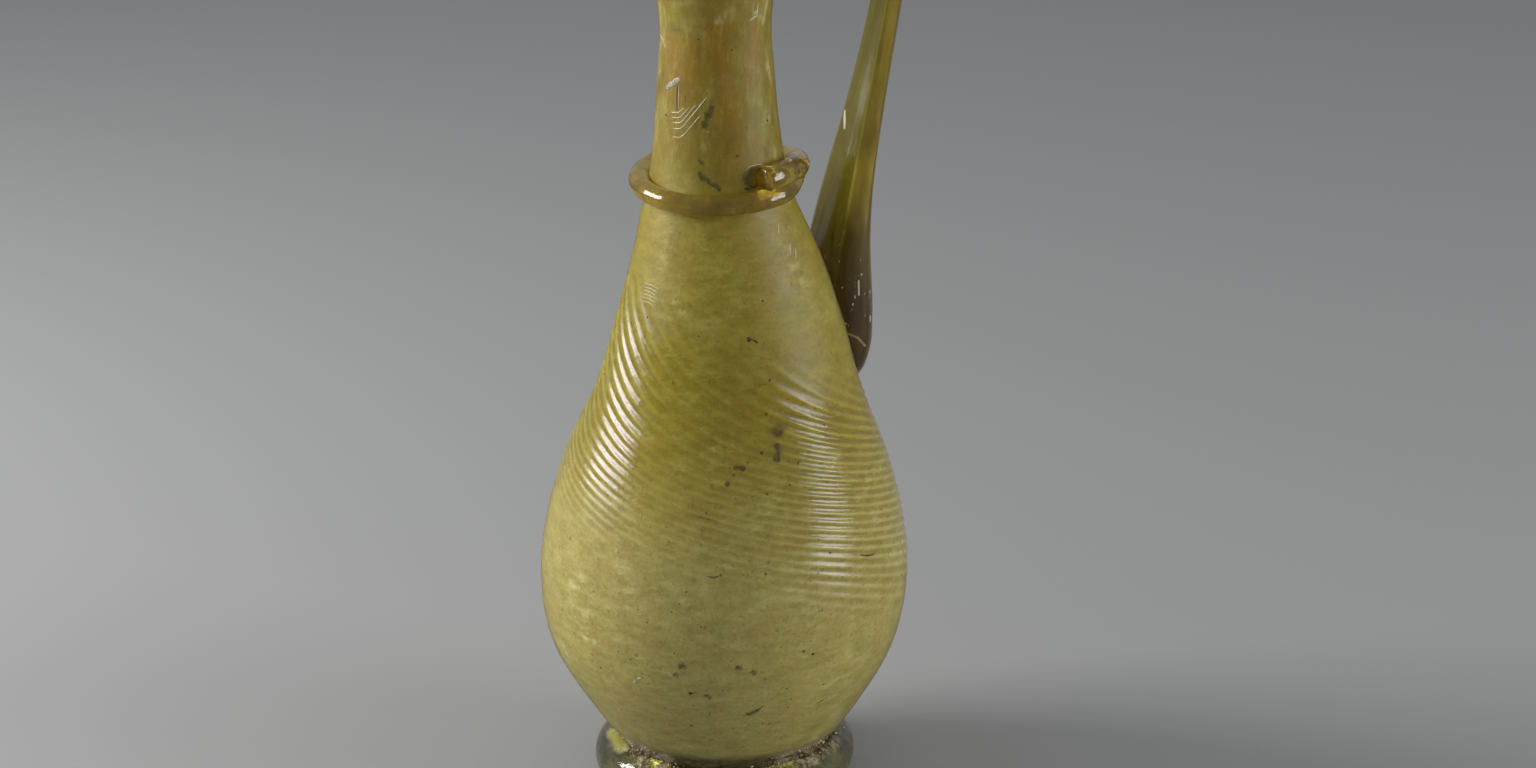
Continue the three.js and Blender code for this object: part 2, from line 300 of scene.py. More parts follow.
# Whitish veils, listed the same way
VEILS = [
    (4.6, [(52, 198), (60, 180)]), (4.2, [(62, 170), (66, 158)]), (2.0, [(4, 194.6), (27, 197.6)]),
    (3.6, [(-76, 200), (-80, 160)]), (2.4, [(-40, 144), (-43, 137)]),
    (2.0, [(-30, 129.5), (-21, 127)]), (2.8, [(38, 144), (50, 134), (62, 124)]),
    (5.4, [(-52, 62), (-44, 50)]), (3.4, [(-34, 72), (-30, 62)]),
]

# How far the stains' edges wander
RAGGED = 2.2

# A painted refraction: the yellow body as seen through the foot, laid on the foot's glass as a patch:
# radius, then turns and lifts along it
REFRACTED_YELLOW_PLACE = [(2.6, [(-82, 70), (-72, 74), (-62, 70)])]

# Where crust covers the joint over the foot, by first and last turn, and how far elsewhere
CRUST_PLACES = [(-64, -24), (22, 74), (110, 150), (200, 250)]
CRUST_FADES = 6
CRUST_ELSEWHERE = 0.25

# The same joint's loose grains: first turn, last turn and number
CRUST_STRETCHES = [(-64, -24, 110), (22, 74, 150), (-24, 22, 12), (74, 296, 110)]

# The grains' least size, their most added size, and how far up the wall they lie
GRAIN_SIZE = 0.14
GRAIN_GROWS = 0.4
GRAIN_CLIMB = 3.6

# Soft lights: turn, elevation, distance, size and watts
LIGHTS = {
    "window": (-94, 24, 850, (420, 320), 7.4),
    "fill": (77, 12, 1100, (480, 420), 5.6),
}
LIGHT_COLOUR = (1.0, 0.99, 0.97)
LIGHT_AIM = 110

# Brightness of the room in front of the jug and behind it, and where it changes on the way back
ROOM_FRONT = 0.32
ROOM_BACK = 0.47
ROOM_CHANGES = (-0.8, 0.5)

# The square floor's width
FLOOR_SIZE = 6000

CAMERA_TURN = math.radians(CAMERA_AZIMUTH)
CAMERA_SIDE = Vector((math.cos(CAMERA_TURN), math.sin(CAMERA_TURN), 0))
CAMERA_AHEAD = Vector((-math.sin(CAMERA_TURN), math.cos(CAMERA_TURN), 0))
JUG_AXIS = Vector((AXIS_X, 0, 0))

# The azimuth of turn 0
FRAME_TURN = CAMERA_AZIMUTH - 90


def smooth(value, low, high):
    """Goes smoothly from 0 to 1 as the value goes from low to high."""
    t = np.clip((np.asarray(value, float) - low) / (high - low), 0, 1)
    return t * t * (3 - 2 * t)


def smooth_through(stations, first_slope=None):
    """A smooth function through stations of place and value, by cubic pieces."""
    x, y = np.array(stations, float).T
    gaps = np.diff(x)
    over = np.diff(y) / gaps
    slope = np.empty_like(y)
    slope[0] = over[0] if first_slope is None else first_slope
    slope[-1] = over[-1]
    slope[1:-1] = (over[:-1] * gaps[1:] + over[1:] * gaps[:-1]) / (gaps[:-1] + gaps[1:])

    def at(place):
        p = np.clip(place, x[0], x[-1])
        i = np.clip(np.searchsorted(x, p, side="right") - 1, 0, len(gaps) - 1)
        t = (p - x[i]) / gaps[i]
        rise = y[i + 1] - y[i]
        start = slope[i] * gaps[i]
        end = slope[i + 1] * gaps[i]
        bend = t * t * (3 * rise - 2 * start - end) + t**3 * (start + end - 2 * rise)
        return y[i] + t * start + bend

    return at


radius_at = smooth_through(WALL_STATIONS, BASE_FLARE)
lean_at = smooth_through(LEAN_STATIONS, 0)


def run_at(height):
    """The distance out along the underside and then up the wall, at a height on the wall."""
    return np.asarray(height, float) - BASE_TOP + BASE_RADIUS


def outer_point(run):
    """Radius and height of the body's outside at a run."""
    run = np.asarray(run, float)
    height = run - BASE_RADIUS + BASE_TOP
    share = np.clip(run / BASE_RADIUS, 0, 1)
    kick = PONTIL_KICK * np.clip(1 - (run / PONTIL_RADIUS) ** 2, 0, None) ** 2
    underside = BASE_LIFT + (BASE_TOP - BASE_LIFT) * share**BOWL_POWER + kick
    beyond = run >= BASE_RADIUS
    return np.where(beyond, radius_at(height), run), np.where(beyond, height, underside)


def outward(run):
    """The outside's normal at a run, as its share along the radius and its share upwards."""
    step = 0.05
    r0, z0 = outer_point(np.maximum(run - step, 0))
    r1, z1 = outer_point(run + step)
    length = np.hypot(r1 - r0, z1 - z0)
    return (z1 - z0) / length, -(r1 - r0) / length


def twist_at(height):
    """How far the ribs have turned at a height, in degrees. They stop turning above the shoulder."""
    rise = np.minimum(height, TWIST_END) - TWIST_CENTRE
    spread = np.where(rise > 0, TWIST_SPREAD_ABOVE, TWIST_SPREAD_BELOW)
    return -(TWIST_SLOW * rise + TWIST_FAST * spread * np.tanh(rise / spread))


def around(turn, radius, height):
    """The point at a turn, a radius from the leaning axis and a height."""
    angle = np.radians(turn)
    side = radius * np.sin(angle) + lean_at(height)
    ahead = -radius * np.cos(angle)
    x = AXIS_X + side * CAMERA_SIDE.x + ahead * CAMERA_AHEAD.x
    y = side * CAMERA_SIDE.y + ahead * CAMERA_AHEAD.y
    return np.stack(np.broadcast_arrays(x, y, height), -1).astype(float)


def on_wall(turn, height):
    """The plain wall's point at a turn and a height."""
    return around(turn, radius_at(height), height)


def rough_field(points, size, depth=3):
    """Fractal noise between about -1 and 1 at each point."""
    flat = points.reshape(-1, 3) / size
    values = [noise.fractal(Vector(p), 1.0, 2.0, depth) for p in flat]
    return np.array(values).reshape(points.shape[:-1])


def ribs(turn, height):
    """How far the ribs show, from 0 to 1, and their wave, from furrow to crest."""
    lift = np.cos(np.radians(turn - RIBS_HIGHER_AT))
    started = smooth(height - RIBS_START_HIGHER_BY * lift, *RIBS_START)
    shown = started * (1 - smooth(height - RIBS_END_HIGHER_BY * lift, *RIBS_END))
    phase = np.radians(RIB_COUNT * (turn - twist_at(height)))
    return shown, np.cos(phase) + RIB_SHARPNESS * np.cos(2 * phase)


def rib_relief(turn, height):
    """How far the ribs stand above or below the plain wall."""
    step = 0.5
    rate = np.radians(np.abs(twist_at(height + step) - twist_at(height - step)) / (2 * step))
    radius = radius_at(height)
    pitch = 2 * np.pi * radius / RIB_COUNT / np.sqrt(1 + (radius * rate) ** 2)
    most = np.minimum(RIB_HEIGHT_MOST, RIB_STEEPNESS * pitch / (2 * np.pi))
    shown, wave = ribs(turn, height)
    return most * shown * wave * (1 - RIBS_WORN * worn_and_faded_at(turn))


def worn_and_faded_at(turn):
    """How far the ribs are worn, and the painted light on their crests faded, at a turn, from 0 to 1."""
    return 1 - smooth(np.abs((turn - WORN_AND_FADED_AT + 180) % 360 - 180), *WORN_AND_FADED_OVER)


def skin(turn, height, proud=0.0):
    """The dressed wall's point at a turn and a height, or the point a little above it."""
    turn, height = np.broadcast_arrays(np.asarray(turn, float), np.asarray(height, float))
    radius = radius_at(height)
    uneven = WALL_UNEVEN * rough_field(around(turn, radius, height), WALL_UNEVEN_SIZE)
    grown = rib_relief(turn, height) + uneven * smooth(height, BASE_TOP, UNEVEN_FROM)
    out, up = outward(run_at(height))
    return around(turn, radius + grown + out * proud, height + up * proud)


def thickness_at(height):
    """The wall's thickness at a height of its outside."""
    base = (BASE_THICKNESS - WALL_THICKNESS) * (1 - smooth(height, BASE_TOP, BASE_THICK_TO))
    neck = (NECK_THICKNESS - WALL_THICKNESS) * smooth(height, *NECK_THICK_OVER)
    lip = (LIP_THICKNESS - NECK_THICKNESS) * smooth(height, LIP_THICK_FROM, LIP_START)
    return WALL_THICKNESS + base + neck + lip


def make_piece(name, points, faces, materials, material_of_face=None):
    """A smooth mesh object from points in millimetres, with its faces turned out."""
    mesh = bpy.data.meshes.new(name)
    mesh.from_pydata((points * MM).tolist(), [], faces)
    for material in materials:
        mesh.materials.append(material)
    if material_of_face is not None:
        mesh.polygons.foreach_set("material_index", material_of_face)
    mesh.polygons.foreach_set("use_smooth", [True] * len(mesh.polygons))
    work = bmesh.new()
    work.from_mesh(mesh)
    bmesh.ops.recalc_face_normals(work, faces=work.faces)
    work.to_mesh(mesh)
    work.free()
    piece = bpy.data.objects.new(name, mesh)
    bpy.context.scene.collection.objects.link(piece)
    return piece


def loft(rings, loop=False):
    """Points and faces of a skin over rings (rings, columns, 3). An open skin is closed by two poles."""
    count, columns = rings.shape[:2]
    points = rings.reshape(-1, 3)
    k = np.arange(columns)
    following = (k + 1) % columns
    rows = np.arange(count if loop else count - 1)
    low = rows[:, None] * columns
    high = ((rows + 1) % count)[:, None] * columns
    quads = np.stack([low + k, low + following, high + following, high + k], -1)
    faces = quads.reshape(-1, 4).tolist()
    if not loop:
        first = len(points)
        last = (count - 1) * columns
        points = np.vstack([points, rings[0].mean(0), rings[-1].mean(0)])
        faces += [(first, b, a) for a, b in zip(k.tolist(), following.tolist())]
        faces += [(last + a, last + b, first + 1) for a, b in zip(k.tolist(), following.tolist())]
    return points, faces


def travel_along(line):
    """How far each point of a flat line lies along it."""
    return np.concatenate([[0], np.cumsum(np.hypot(*np.diff(line, axis=0).T))])


def merged(skins):
    """One set of points and faces from many."""
    points = []
    faces = []
    count = 0
    for skin_points, skin_faces in skins:
        points.append(skin_points)
        faces += [tuple(count + corner for corner in face) for face in skin_faces]
        count += len(skin_points)
    return np.vstack(points), faces


# The body's outer line and its normals, in small steps from the underside up to the lip
SEAT_RUNS = np.arange(8.0, float(run_at(LIP_START)), 0.25)
SEAT_R, SEAT_Z = outer_point(SEAT_RUNS)
SEAT_NR, SEAT_NZ = outward(SEAT_RUNS)


def seat(points):
    """Moves points that lie inside the body's outer form to just under its surface."""
    moved = points.reshape(-1, 3).copy()
    lean = lean_at(moved[:, 2])
    x = moved[:, 0] - AXIS_X - lean * CAMERA_SIDE.x
    y = moved[:, 1] - lean * CAMERA_SIDE.y
    r = np.hypot(x, y)
    near = np.argmin((r[:, None] - SEAT_R) ** 2 + (moved[:, 2, None] - SEAT_Z) ** 2, 1)
    out = (r - SEAT_R[near]) * SEAT_NR[near] + (moved[:, 2] - SEAT_Z[near]) * SEAT_NZ[near]
    push = np.clip(-SEAT_DEPTH - out, 0, None)
    wider = np.maximum(r + push * SEAT_NR[near], 1e-6) / np.maximum(r, 1e-6)
    moved[:, 0] += x * (wider - 1)
    moved[:, 1] += y * (wider - 1)
    moved[:, 2] += push * SEAT_NZ[near]
    return moved.reshape(points.shape)


def make_camera():
    """The camera, which looks down at the jug as in the photograph."""
    camera = bpy.data.objects.new("camera", bpy.data.cameras.new("camera"))
    bpy.context.scene.collection.objects.link(camera)
    place = JUG_AXIS + CAMERA_RIGHT * CAMERA_SIDE - CAMERA_BACK * CAMERA_AHEAD
    place.z = CAMERA_HEIGHT
    camera.location = place * MM
    camera.rotation_euler = (math.radians(90 - CAMERA_PITCH), 0, CAMERA_TURN)
    camera.data.lens = CAMERA_LENS
    camera.data.sensor_width = SENSOR_WIDTH
    bpy.context.scene.camera = camera


def make_light(name, turn, elevation, distance, size, watts):
    """A soft light, seen from the jug at a turn and an elevation."""
    data = bpy.data.lights.new(name, "AREA")
    data.shape = "RECTANGLE"
    data.size, data.size_y = (s * MM for s in size)
    data.energy = watts
    data.color = LIGHT_COLOUR
    lamp = bpy.data.objects.new(name, data)
    bpy.context.scene.collection.objects.link(lamp)
    rise = math.radians(elevation)
    side = math.radians(turn)
    level = CAMERA_SIDE * math.sin(side) - CAMERA_AHEAD * math.cos(side)
    away = level * math.cos(rise) + Vector((0, 0, math.sin(rise)))
    middle = JUG_AXIS + Vector((0, 0, LIGHT_AIM))
    lamp.location = (middle + away * distance) * MM
    lamp.rotation_euler = away.to_track_quat("Z", "Y").to_euler()


class Nodes:
    """Builds the nodes of a material or world. What makes a node gives back its output."""

    def __init__(self, owner):
        owner.use_nodes = True
        self.nodes = owner.node_tree.nodes
        self.links = owner.node_tree.links

    def feed(self, socket, value):
        """Gives a socket a link from another node's output, or a plain value."""
        if isinstance(value, bpy.types.NodeSocket):
            self.links.new(value, socket)
        else:
            socket.default_value = (*value, 1) if socket.type == "RGBA" else value

    def node(self, kind, *inputs, **settings):
        """A new node, given back whole, with its settings and its first inputs."""
        made = self.nodes.new(kind)
        for name, value in settings.items():
            setattr(made, name, value)
        for socket, value in zip(made.inputs, inputs):
            self.feed(socket, value)
        return made

    def math(self, operation, a, b, clamp=False):
        return self.node("ShaderNodeMath", a, b, operation=operation, use_clamp=clamp).outputs[0]

    plus = partialmethod(math, "ADD")
    minus = partialmethod(math, "SUBTRACT")
    times = partialmethod(math, "MULTIPLY")
    most = partialmethod(math, "MAXIMUM")

    def vector(self, operation, a, b, output="Vector"):
        return self.node("ShaderNodeVectorMath", a, b, operation=operation).outputs[output]

    def band(self, value, low, high, start=0.0, end=1.0):
        """Goes smoothly from start to end as the value goes from low to high."""
        made = self.node("ShaderNodeMapRange", value, low, high, start, end)
        made.interpolation_type = "SMOOTHSTEP"
        return made.outputs[0]

    def blend(self, share, a, b):
        """Goes from colour a to colour b as the share goes from 0 to 1."""
        made = self.node("ShaderNodeMix", data_type="RGBA")
        inputs = {socket.identifier: socket for socket in made.inputs}
        self.feed(inputs["Factor_Float"], share)
        self.feed(inputs["A_Color"], a)
        self.feed(inputs["B_Color"], b)
        return next(socket for socket in made.outputs if socket.identifier == "Result_Color")

    def tones(self, value, low, high, a, b):
        """Goes from screen colour a to b as the value goes from low to high."""
        return self.blend(self.band(value, low, high), srgb(*a), srgb(*b))


class Look(Nodes):
    """One material's nodes, with places in millimetres."""

    def __init__(self, name):
        self.material = bpy.data.materials.new(name)
        super().__init__(self.material)
        self.shader = next(n for n in self.nodes if n.type == "BSDF_PRINCIPLED")
        metres = self.node("ShaderNodeTexCoord").outputs["Object"]
        self.place = self.vector("MULTIPLY", metres, (1 / MM,) * 3)
        self.height = self.node("ShaderNodeSeparateXYZ", self.place).outputs["Z"]

    def stretched(self, x, y, z):
        return self.vector("MULTIPLY", self.place, (x, y, z))

    def attribute(self, name):
        return self.node("ShaderNodeAttribute", attribute_name=name).outputs["Fac"]

    def stroke(self, place, start, end, radius):
        """A soft stroke along a line, 1 at its middle and 0 past its radius."""
        way = end - start
        offset = self.vector("SUBTRACT", place, tuple(start))
        along = self.vector("DOT_PRODUCT", offset, tuple(way), "Value")
        share = self.math("DIVIDE", along, max(float(way @ way), 1e-6), clamp=True)
        nearest = self.node("ShaderNodeVectorMath", tuple(way), operation="SCALE")
        self.feed(nearest.inputs["Scale"], share)
        away = self.vector("DISTANCE", offset, nearest.outputs["Vector"], "Value")
        return self.band(away, radius, radius * 0.3)

    def spots(self, place, listed, on_surface, nudge=0.0):
        """The strongest of the listed soft marks: each has a radius and a path on one surface."""
        found = 0.0
        for radius, path in listed:
            points = [on_surface(*spot) + nudge for spot in path]
            for start, end in zip(points, points[1:] or points):
                found = self.most(found, self.stroke(place, start, end, radius))
        return found

    def noise(self, size, detail, roughness=0.5, at=None, output="Fac"):
        made = self.node("ShaderNodeTexNoise", at or self.place)
        made.inputs["Scale"].default_value = 1 / size
        made.inputs["Detail"].default_value = detail
        made.inputs["Roughness"].default_value = roughness
        return made.outputs[output]

    def bump(self, height, distance, strength):
        made = self.node("ShaderNodeBump")
        made.inputs["Strength"].default_value = strength
        made.inputs["Distance"].default_value = distance * MM
        self.feed(made.inputs["Height"], height)
        return made.outputs[0]

    def under(self, name):
        """What feeds the shader's socket so far."""
        return self.shader.inputs[name].links[0].from_socket

    def cover(self, share, colour, roughness):
        """Lays an opaque coat over what the shader shows so far."""
        left = self.minus(1.0, share)
        rough = self.times(left, self.under("Roughness"))
        self.set(
            Base_Color=self.blend(share, self.under("Base Color"), colour),
            Roughness=self.plus(rough, self.times(share, roughness)),
            Transmission_Weight=self.times(left, self.under("Transmission Weight")),
        )

    def set(self, **values):
        """Puts plain values or sockets on the shader, by its sockets' names with _ for a space."""
        for name, value in values.items():
            self.feed(self.shader.inputs[name.replace("_", " ")], value)


def srgb(*screen):
    """A colour read as 0 to 255 on a screen, as Blender's linear colour."""
    shares = [value / 255 for value in screen]
    return tuple(v / 12.92 if v <= 0.04045 else ((v + 0.055) / 1.055) ** 2.4 for v in shares)


class BodyLook(Look):
    """The body's look, with the textures and zones that several parts of it share."""

    def __init__(self):
        super().__init__("body_glass")
        self.clouds = self.noise(13, 3, 0.55)
        self.wisps = self.noise(3.4, 5, 0.7, self.stretched(0.6, 0.6, 1.5))
        self.streaks = self.noise(4, 5, 0.7, self.stretched(1, 1, 0.4))
        self.grit = self.noise(0.9, 3, 0.6)
        self.belly = self.band(self.height, 108, 64)
        self.neck = self.band(self.height, 148, 164)
        self.bare = self.band(self.height, BARE_FROM, BARE_TO)
        shift = self.vector("MULTIPLY", self.noise(1.4, 4, output="Color"), (RAGGED,) * 3)
        self.ragged_place = self.vector("ADD", self.place, shift)

    def listed(self, marks):
        """Soft marks on the wall with ragged edges."""
        return self.spots(self.ragged_place, marks, on_wall, RAGGED / 2)

    def wall_tone(self):
        """Olive furrows and paler crests, yellower at the shoulder than down on the belly. The paler
        crests are painted light focused by the ribs, mixed with the glass's own mottle.
        """
        # The crest attribute carries painted light: the tone turns paler where the ribs would focus
        # light onto the film
        crest = self.band(self.attribute("crest"), -0.8, 1.0)
        mixed = self.plus(self.times(crest, 0.35), self.times(self.wisps, 0.8))
        mixed = self.band(self.plus(mixed, self.times(self.grit, 0.4)), 0.42, 1.08)
        low_dark = self.tones(self.clouds, 0.4, 0.62, (188, 166, 82), (182, 169, 80))
        high_dark = self.tones(self.clouds, 0.4, 0.62, (174, 148, 38), (166, 154, 38))
        dark = self.blend(self.belly, high_dark, low_dark)
        bright = self.blend(self.belly, srgb(216, 202, 72), srgb(234, 223, 136))
        return self.blend(mixed, dark, bright)

    def neck_tone(self):
        """Ochre patches under bright and dark streaks and fibres that run along the neck."""
        patches = self.noise(8, 4, 0.62, self.stretched(1, 1, 0.6))
        fibres = self.noise(1.7, 5, 0.7, self.stretched(1, 1, 0.3))
        tone = self.tones(patches, 0.4, 0.66, (188, 164, 40), (186, 178, 50))
        tone = self.blend(self.times(self.listed(OCHRE_PATCHES), 0.85), tone, srgb(196, 154, 24))
        tone = self.blend(self.band(self.streaks, 0.54, 0.72), tone, srgb(218, 208, 104))
        tone = self.blend(self.band(self.streaks, 0.46, 0.32, 0.0, 0.6), tone, srgb(140, 116, 32))
        tone = self.blend(self.band(fibres, 0.42, 0.62, 0.35, 0.0), tone, srgb(140, 122, 34))
        return self.blend(self.band(fibres, 0.56, 0.72, 0.0, 0.35), tone, srgb(230, 220, 120))

    def veils(self):
        """Where a whitish veil lies: the listed ones in wisps, and faint clouds all over."""
        above = self.minus(1.0, self.neck)
        cloth = self.plus(self.times(self.neck, self.streaks), self.times(self.wisps, above))
        veiled = self.times(self.listed(VEILS), self.band(cloth, 0.44, 0.66))
        return self.most(veiled, self.band(self.plus(self.clouds, self.wisps), 1.0, 1.4, 0.0, 0.5))

    def stains(self):
        """Where brown stains lie."""
        return self.times(self.listed(STAINS), self.band(self.grit, 0.3, 0.56, 0.5, 0.92))

    def crust(self):
        """Where crust lies in the joint over the foot."""
        patches = self.band(self.noise(3.2, 5, 0.7), 0.42, 0.56)
        return self.times(patches, self.times(self.attribute("crusted"), self.bare))


def body_glass():
    """The weathered outside: glossy on the ribs, duller and cloudier elsewhere."""
    look = BodyLook()
    ribbed = look.attribute("ribbed")
    veiled = look.veils()
    stained = look.stains()
    crusted = look.crust()

    tone = look.blend(look.neck, look.wall_tone(), look.neck_tone())
    freckles = look.band(look.noise(1.3, 3, 0.65), 0.6, 0.72, 0.0, 0.55)
    tone = look.blend(freckles, tone, srgb(116, 96, 44))
    pale = look.times(veiled, look.band(look.neck, 0, 1, 0.3, 0.5))
    tone = look.blend(pale, tone, srgb(226, 222, 176))
    tone = look.blend(stained, tone, srgb(88, 74, 38))
    tone = look.blend(look.bare, tone, srgb(176, 166, 110))
    dirt = look.tones(look.grit, 0.35, 0.65, (124, 106, 78), (210, 194, 162))
    tone = look.blend(crusted, tone, dirt)

    dull = look.minus(look.band(look.clouds, 0.3, 0.7, 0.4, 0.5), look.times(ribbed, 0.32))
    dull = look.plus(dull, look.band(look.wisps, 0.4, 0.62, 0.04, 0.1))
    hazy = look.times(look.most(veiled, stained), 0.3)
    clear = look.minus(look.band(look.belly, 0, 1, 0.56, 0.44), hazy)
    clear = look.plus(clear, look.times(ribbed, 0.05))
    clear = look.plus(clear, look.times(look.bare, 0.42))
    look.set(
        Base_Color=tone,
        Roughness=look.minus(dull, look.times(look.bare, 0.3)),
        IOR=1.5,
        Transmission_Weight=look.times(clear, look.minus(1.0, crusted)),
        Sheen_Weight=0.06,
        Sheen_Roughness=0.4,
        Sheen_Tint=srgb(236, 228, 180),
        Thin_Film_Thickness=320.0,
        Thin_Film_IOR=1.46,
        Normal=look.bump(look.noise(2.6, 4, 0.65), 0.14, 0.6),
    )
    return look.material


def body_film():
    """The pale weathered film inside the glass."""
    look = Look("body_film")
    mottle = look.noise(1.8, 5, 0.7)
    shoulder = look.tones(mottle, 0.3, 0.66, (206, 184, 64), (244, 236, 120))
    belly = look.tones(mottle, 0.3, 0.66, (214, 198, 116), (246, 238, 182))
    body = look.blend(look.band(look.height, 60, 104), belly, shoulder)
    neck = look.tones(mottle, 0.3, 0.66, (218, 196, 92), (240, 228, 136))
    tone = look.blend(look.band(look.height, 150, 166), body, neck)
    # Painted shade: the film goes dark down where the wall turns bare, in the corner over the foot
    tone = look.blend(look.band(look.height, BARE_FROM, BARE_TO), tone, srgb(96, 84, 50))
    look.set(Base_Color=tone, Roughness=0.6, IOR=1.5, Transmission_Weight=0.35)
    return look.material


def trail_glass(name, clean, dirty, absorbed, density, clear, wavy):
    """Streaky glass of a wound trail, which darkens with its depth."""
    look = Look(name)
    clouds = look.noise(4, 4, 0.62)
    look.set(
        Base_Color=look.tones(clouds, 0.46, 0.72, clean, dirty),
        Roughness=look.band(look.noise(5, 4, 0.6), 0.4, 0.7, 0.05, 0.16),
        IOR=1.5,
        Transmission_Weight=look.band(clouds, 0.46, 0.72, clear, clear * 0.7),
        Normal=look.bump(look.noise(2.6, 3, 0.55), wavy, 0.5),
    )
    volume = look.node("ShaderNodeVolumeAbsorption", absorbed, density).outputs[0]
    output = next(n for n in look.nodes if n.type == "OUTPUT_MATERIAL")
    look.links.new(volume, output.inputs["Volume"])
    return look


def foot_glass():
    """Grey-olive trail glass with a pinkish crust over the joint with the body."""
    tones = ((184, 180, 130), (128, 122, 80))
    look = trail_glass("foot_glass", *tones, (0.78, 0.77, 0.56), 130, 0.92, 0.3)
    joint = look.band(look.height, 9.8, 11.2)
    patches = look.band(look.noise(4.2, 5, 0.7), 0.48, 0.6)
    crusted = look.times(look.times(joint, patches), look.attribute("crusted"))
    crust = look.tones(look.noise(0.8, 3, 0.6), 0.35, 0.65, (128, 108, 78), (210, 192, 160))
    # Painted refraction: an opaque yellow patch that stands for the body seen through the foot
    look.cover(look.times(look.spots(look.place, REFRACTED_YELLOW_PLACE, on_foot), 0.75), srgb(176, 168, 44), 0.15)
    look.cover(crusted, crust, 0.8)
    return look.material


def handle_glass():
    """Cloudy olive glass, golden on the strap's outer side, that turns brown down at the shoulder."""
    look = Look("handle_glass")
    outer = look.attribute("outer")
    strands = look.noise(1.6, 4, 0.6, look.stretched(1, 1, 0.06))
    clouds = look.noise(6, 4, 0.6, look.stretched(1, 1, 0.3))
    low = look.band(look.height, 152, 118)

    olive = look.tones(clouds, 0.3, 0.7, (146, 134, 30), (162, 150, 42))
    golden = look.tones(strands, 0.3, 0.7, (154, 130, 34), (178, 156, 52))
    above = look.blend(look.band(outer, -0.78, -0.5), olive, golden)
    # Painted glint: a thin pale line along the strap where its olive side meets the golden one
    edge = look.times(look.band(outer, -0.8, -0.75), look.band(outer, -0.68, -0.73))
    above = look.blend(look.times(edge, 0.7), above, srgb(240, 228, 130))
    below = look.tones(clouds, 0.3, 0.7, (98, 78, 46), (134, 112, 74))
    below = look.blend(look.band(strands, 0.42, 0.62, 0.0, 0.45), below, srgb(66, 50, 30))

    flecks = look.band(look.noise(1.1, 2, 0.6, look.stretched(1, 1, 0.4)), 0.66, 0.72)
    chips = look.most(look.times(flecks, low), look.spots(look.place, HANDLE_CHIPS, on_strap))
    ring = look.times(look.spots(look.place, HANDLE_RING, on_strap), 0.7)
    tone = look.blend(chips, look.blend(low, above, below), srgb(206, 200, 176))
    opaque = look.minus(1.0, look.most(chips, ring))
    look.set(
        Base_Color=look.blend(ring, tone, srgb(190, 162, 122)),
        Roughness=look.band(clouds, 0.4, 0.7, 0.12, 0.24),
        IOR=1.5,
        Transmission_Weight=look.times(look.band(low, 0, 1, 0.78, 0.6), opaque),
        Specular_IOR_Level=0.2,
        Normal=look.bump(strands, 0.05, 0.3),
    )
    return look.material


def deposit(name, dark, light, size, roughness, clear=0.0):
    """A mottled surface for what lies on the glass."""
    look = Look(name)
    mottle = look.noise(size, 4, 0.6)
    look.set(
        Base_Color=look.tones(mottle, 0.35, 0.65, dark, light),
        Roughness=roughness,
        Transmission_Weight=clear,
        Normal=look.bump(mottle, size / 6, 0.5),
    )
    return look.material


def lip_rings(spread):
    """The rounded lip, from the outside over to the inside."""
    run = float(run_at(LIP_START))
    r, z = outer_point(run)
    out, up = outward(run)
    half = LIP_THICKNESS / 2
    bend = np.radians(np.linspace(0, 180, LIP_ROWS, endpoint=False))
    bend_r = r - half * out + half * (out * np.cos(bend) - up * np.sin(bend))
    bend_z = z - half * up + half * (up * np.cos(bend) + out * np.sin(bend))
    return around(twist_at(LIP_START) + spread, bend_r[:, None], bend_z[:, None])


def inner_rings(spread):
    """The inside, from the lip down and across its floor."""
    down = run_at(np.linspace(LIP_START, BASE_TOP, INNER_ROWS))
    runs = np.concatenate([down, BASE_RADIUS * np.linspace(0.96, 0.05, FLOOR_ROWS)])
    r, z = outer_point(runs)
    out, up = outward(runs)
    deep = thickness_at(z)
    return around(twist_at(LIP_START) + spread, (r - out * deep)[:, None], (z - up * deep)[:, None])


def make_body():
    """The blown vessel, one closed skin with glass outside and the film inside."""
    columns = RIB_COUNT * COLUMNS_PER_RIB
    spread = np.arange(columns) * 360 / columns
    under_r, under_z = outer_point(BASE_RADIUS * np.linspace(0.04, 1, UNDER_ROWS, endpoint=False) ** 0.8)
    under = around(twist_at(BASE_TOP) + spread, under_r[:, None], under_z[:, None])
    fine = np.arange(BASE_TOP, FINE_ROWS_END, ROW_STEP)
    heights = np.concatenate([fine, np.arange(FINE_ROWS_END, LIP_START, NECK_ROW_STEP)])[:, None]
    turns = twist_at(heights) + spread
    outside = np.concatenate([under, skin(turns, heights), lip_rings(spread)])
    points, faces = loft(np.concatenate([outside, inner_rings(spread)]))

    # The last faces close the underside and then the floor inside
    material = np.zeros(len(faces), int)
    material[len(outside) * columns : -2 * columns] = 1
    material[-columns:] = 1
    piece = make_piece("jug_body", points, faces, [body_glass(), body_film()], material)
    first = len(under) * columns
    shown, wave = ribs(turns, heights)
    keep_values(piece, "ribbed", first, shown)
    # Painted light along the rib crests, faded about one turn
    keep_values(piece, "crest", first, shown * wave * (1 - CREST_LIGHT_FADE * worn_and_faded_at(turns)))
    keep_values(piece, "crusted", first, crusted_at(turns))
    dress(piece, "body")


def keep_values(piece, name, first, values):
    """Stores values on a piece's points from the first of them on, for its material to read."""
    filled = np.zeros(len(piece.data.vertices))
    filled[first : first + values.size] = values.ravel()
    piece.data.attributes.new(name, "FLOAT", "POINT").data.foreach_set("value", filled)


def dress(piece, node):
    """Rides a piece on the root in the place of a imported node."""
    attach(piece, "root")
    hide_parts(node)


